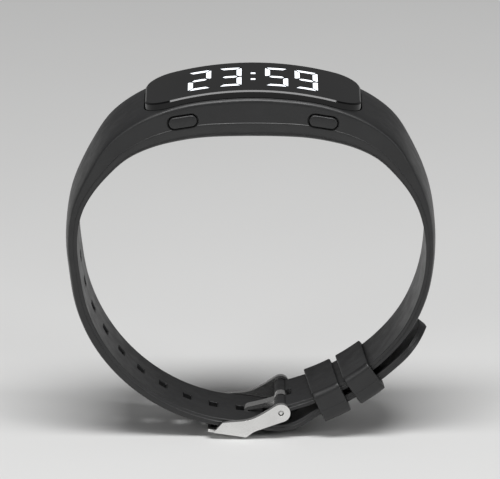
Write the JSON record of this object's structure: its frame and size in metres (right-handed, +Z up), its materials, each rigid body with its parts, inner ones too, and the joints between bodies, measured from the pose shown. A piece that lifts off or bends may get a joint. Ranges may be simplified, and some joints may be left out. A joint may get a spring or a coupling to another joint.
{
  "type": "fitness tracker band",
  "caption": "Fastened rubber wrist band with a curved display module, side buttons, a pin buckle and strap loops.",
  "frame": {"origin": "centre of the wrist opening, on the wrist axis, midway across the band", "axes": "+Z up through the display, +Y along the forearm away from the buttons, +X towards the buckle side"},
  "size_m": [0.067, 0.0205, 0.066],
  "materials": {
    "rubber": "matte, fine-grained charcoal moulding",
    "lens": "polished black, curved",
    "numerals": "white diffuser, lit from behind",
    "plastic": "moulded black",
    "foam": "black adhesive foam",
    "board": "green solder mask",
    "chip": "black moulded package",
    "plated": "tin-plated, dull",
    "battery_wrap": "aluminium laminate pouch",
    "gold": "gold-plated, polished",
    "steel": "brushed stainless, bright bevelled edges"
  },
  "bodies": {
    "band": {"band_body": "rubber", "core_case": "plastic", "display_lens": "lens", "lens_gasket": "foam", "led_display": "plastic", "digit_diffuser_1": "numerals", "digit_diffuser_2": "numerals", "digit_diffuser_3": "numerals", "digit_diffuser_4": "numerals", "colon_diffuser": "numerals", "main_board": "board", "processor_chip": "chip", "motion_sensor": "chip", "antenna": "plated", "battery": "battery_wrap", "vibration_motor": "plated", "side_switch_left": "plated", "side_switch_right": "plated", "charge_contact_left": "gold", "charge_contact_right": "gold", "sensor_board": "board", "optical_sensor": "chip", "sensor_window": "lens", "spring_bar_tube": "steel", "spring_bar_tip_front": "steel", "spring_bar_tip_rear": "steel", "spring_bar_spring": "steel"},
    "button_left": {"button_left": "rubber"},
    "button_right": {"button_right": "rubber"},
    "buckle_frame": {"buckle_frame": "steel"},
    "buckle_tongue": {"buckle_tongue": "steel"},
    "keeper_1": {"keeper_1": "rubber"},
    "keeper_2": {"keeper_2": "rubber"}
  },
  "joints": [
    {"name": "button_left_press", "type": "slide", "parent": "band", "child": "button_left", "axis": [0, 1, 0], "range_m": [0, 0.0004], "stiffness_N_per_m": 200, "springref_m": -0.0005},
    {"name": "button_right_press", "type": "slide", "parent": "band", "child": "button_right", "axis": [0, 1, 0], "range_m": [0, 0.0004], "stiffness_N_per_m": 200, "springref_m": -0.0005},
    {"name": "buckle_swing", "type": "hinge", "parent": "band", "child": "buckle_frame", "pos_m": [0.00511, 0, -0.02939], "axis": [0, -1, 0], "range_deg": [0, 90]},
    {"name": "tongue_lift", "type": "hinge", "parent": "band", "child": "buckle_tongue", "pos_m": [0.00511, 0, -0.02939], "axis": [0, 1, 0], "range_deg": [0, 55]},
    {"name": "keeper_1_slide", "type": "hinge", "parent": "band", "child": "keeper_1", "pos_m": [-0.0038, 0, 0.0092], "axis": [0, -1, 0], "range_deg": [0, 1.6]},
    {"name": "keeper_2_slide", "type": "hinge", "parent": "band", "child": "keeper_2", "pos_m": [-0.0038, 0, 0.0092], "axis": [0, -1, 0], "range_deg": [0, 2]}
  ]
}
